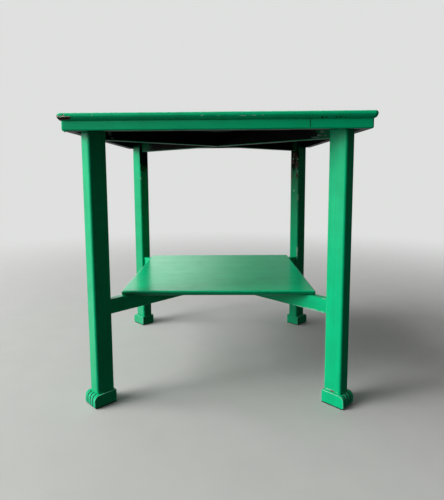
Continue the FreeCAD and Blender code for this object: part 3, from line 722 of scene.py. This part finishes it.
for level, foot, kind in (("top", TOP_FOOT - RAIL_HIGH, stained_wood),
                          ("lower", shelf_low.z - RAIL_HIGH, gloss_paint)):
    for way, degrees, notch_on_top in (("front_left_to_back_right", 45, False),
                                       ("front_right_to_back_left", 135, True)):
        node = f"{level}_rail_{way}"
        wear = (OVERBRUSHED if level == "top" else RUBBED_RAILS)[way]
        material = kind(f"{kind.__name__}_{node}", turn=math.radians(degrees), along=0, **wear)
        # Paint ran along the lower arrises of the unpainted top rails and set there.
        arris = (gloss_paint(f"paint_run_{node}", along=0, colour_scale=0.6) if level == "top"
                 else material)
        bar = make_rail(f"finished_{node}", degrees, foot, notch_on_top, material, arris)
        finished(bar, [node])

# The shelf's paint is drawn 1.2 times lighter, a painted light, and its edge half as light, a
# painted shade.
finished(make_shelf(gloss_paint("gloss_paint_shelf", along=0, colour_scale=1.2),
                    gloss_paint("gloss_paint_shelf_edge_painted_shade", along=0, colour_scale=0.5)),
         ["shelf"])

steel = dull_steel("dull_steel_screws")
pale_wood = plain_wood("glued_beech", "#B8905F", "#8A6238", 0.7)
for node, material in (("top_screws", steel), ("shelf_screws", steel), ("fascia_pins", steel),
                       ("top_tongues", pale_wood), ("foot_dowels", pale_wood)):
    NODES[node].data.materials.clear()
    give(NODES[node], material)


# --- Floor, backdrop, light and camera

BACKDROP = "#DFE0DF"


def make_floor():
    """A plain pale floor that pales into the backdrop far from the table."""
    bpy.ops.object.select_all(action="DESELECT")
    bpy.ops.mesh.primitive_plane_add(size=60)
    floor = bpy.context.object
    floor.name = "studio_floor"
    material, tree = new_material("matt_floor_paint")
    where = add(tree, "ShaderNodeTexCoord", out=3)
    away = add(tree, "ShaderNodeVectorMath", {0: where}, out=1, operation="LENGTH")
    fade = add(tree, "ShaderNodeMapRange", {0: away, 1: 0.6, 2: 3.2},
               interpolation_type="SMOOTHSTEP")
    seen = add(tree, "ShaderNodeLightPath", out=0)
    share = add(tree, "ShaderNodeMath", {0: fade, 1: seen}, operation="MULTIPLY")
    mottle = add(tree, "ShaderNodeTexNoise", {0: where, 2: 9.0, 3: 5.0, 4: 0.6})
    colour = add(tree, "ShaderNodeMix", {0: mottle, 6: "#BFBFBC", 7: "#C9C9C5"}, out=2,
                 data_type="RGBA")
    shader = add(tree, "ShaderNodeBsdfPrincipled", {"Base Color": colour, "Roughness": 0.75})
    glow = add(tree, "ShaderNodeEmission", {0: BACKDROP, 1: 1.0})
    add(tree, "ShaderNodeOutputMaterial", {
        0: add(tree, "ShaderNodeMixShader", {0: share, 1: shader, 2: glow})})
    floor.data.materials.append(material)
    # The light that the floor would throw back comes from the world, where it is set by side.
    floor.visible_diffuse = False
    floor.visible_glossy = False
    floor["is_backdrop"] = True


# The room as (direction, cosine where it fades out, strength).
ROOM_LIGHT = [((0, 0.2, 1), 0.1, 0.15), ((-1, 0.1, 0.25), 0.3, 0.9),
              ((-0.7, -0.5, -0.6), 0.3, 0.17), ((0.8, -0.6, -0.1), 0.3, 0.04),
              ((0.65, 0.75, 0.2), 0.45, 0.25)]
ROOM_SHINE = [((-0.96, 0.28, 0), 0.93, 0.68), ((-0.91, 0.25, -0.34), 0.986, 1.15),
              ((-0.94, -0.33, -0.05), 0.983, 1.15), ((-0.35, 1, 0.22), 0.93, 1.16),
              ((-0.08, 1, 0.22), 0.985, 0.34), ((0.2, 1, 0.22), 0.96, 0.22),
              ((0, 0.8, -0.6), 0.6, 0.45), ((0, 0.7, 1), 0.86, 1.7),
              ((-0.6, -0.8, 0.5), 0.6, 0.35)]
# Windows as (name, place, width, height, watts); all face the middle of the table.
WINDOWS = [("window_middle", (-5.3, -1.12, 2.7), 3.2, 1.9, 195),
           ("window_high", (-3.45, -0.75, 4.3), 2.8, 2.1, 85),
           ("window_front", (-4.3, -2.5, 2.3), 2.4, 2.4, 130)]
LIT_FROM_WINDOWS = 0, 0, 0.35


def make_world():
    """A pale backdrop to the eye. The room that lights the table and the room that it mirrors are
    set apart, so that the gloss can carry a bright wall without greying the shadows."""
    world = bpy.data.worlds.new("studio")
    bpy.context.scene.world = world
    world.use_nodes = True
    tree = world.node_tree
    tree.nodes.clear()
    direction = add(tree, "ShaderNodeTexCoord", out=0)

    def room(lobes):
        lit = 0.0
        for toward, fade_out, strength in lobes:
            facing = add(tree, "ShaderNodeVectorMath", {
                0: direction, 1: Vector(toward).normalized()}, out=1, operation="DOT_PRODUCT")
            facing = add(tree, "ShaderNodeMapRange", {
                0: facing, 1: fade_out, 2: 1.0, 3: 0.0, 4: strength},
                interpolation_type="SMOOTHSTEP")
            lit = add(tree, "ShaderNodeMath", {0: facing, 1: lit}, operation="ADD")
        return add(tree, "ShaderNodeBackground", {0: "#F4F6F8", 1: lit})

    lighting = add(tree, "ShaderNodeMixShader", {
        0: add(tree, "ShaderNodeLightPath", out=3), 1: room(ROOM_LIGHT), 2: room(ROOM_SHINE)})
    backdrop = add(tree, "ShaderNodeBackground", {0: BACKDROP, 1: 1.0})
    add(tree, "ShaderNodeOutputWorld", {0: add(tree, "ShaderNodeMixShader", {
        0: add(tree, "ShaderNodeLightPath", out=0), 1: lighting, 2: backdrop})})


def soft_light(name, place, aim, wide, high, watts):
    """A white window that lights the table but isn't itself mirrored in the gloss."""
    lamp = bpy.data.lights.new(name, "AREA")
    lamp.shape, lamp.size, lamp.size_y = "RECTANGLE", wide, high
    lamp.energy = watts
    holder = bpy.data.objects.new(name, lamp)
    bpy.context.scene.collection.objects.link(holder)
    holder.location = place
    holder.rotation_euler = (Vector(aim) - Vector(place)).to_track_quat("-Z", "Y").to_euler()
    holder.visible_glossy = False


def make_camera():
    """A camera about a metre in front of the table, a little below the level of its top."""
    lens = bpy.data.cameras.new("camera")
    camera = bpy.data.objects.new("camera", lens)
    bpy.context.scene.collection.objects.link(camera)
    bpy.context.scene.camera = camera
    lens.sensor_width, lens.lens = 36.0, 31.07
    lens.shift_x, lens.shift_y = 0.0140, -0.0544
    yaw, tilt, roll = (math.radians(a) for a in (-1.08, 6.41, -0.39))
    camera.matrix_world = (Matrix.Translation((0.0136, -1.3481, 0.5795))
                           @ Matrix.Rotation(-yaw, 4, "Z")
                           @ Matrix.Rotation(math.pi / 2 - tilt, 4, "X")
                           @ Matrix.Rotation(roll, 4, "Z"))


make_floor()
make_world()
for name, place, wide, high, watts in WINDOWS:
    soft_light(name, place, LIT_FROM_WINDOWS, wide, high, watts)
make_camera()
bpy.context.scene.view_settings.view_transform = "Standard"

low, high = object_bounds()
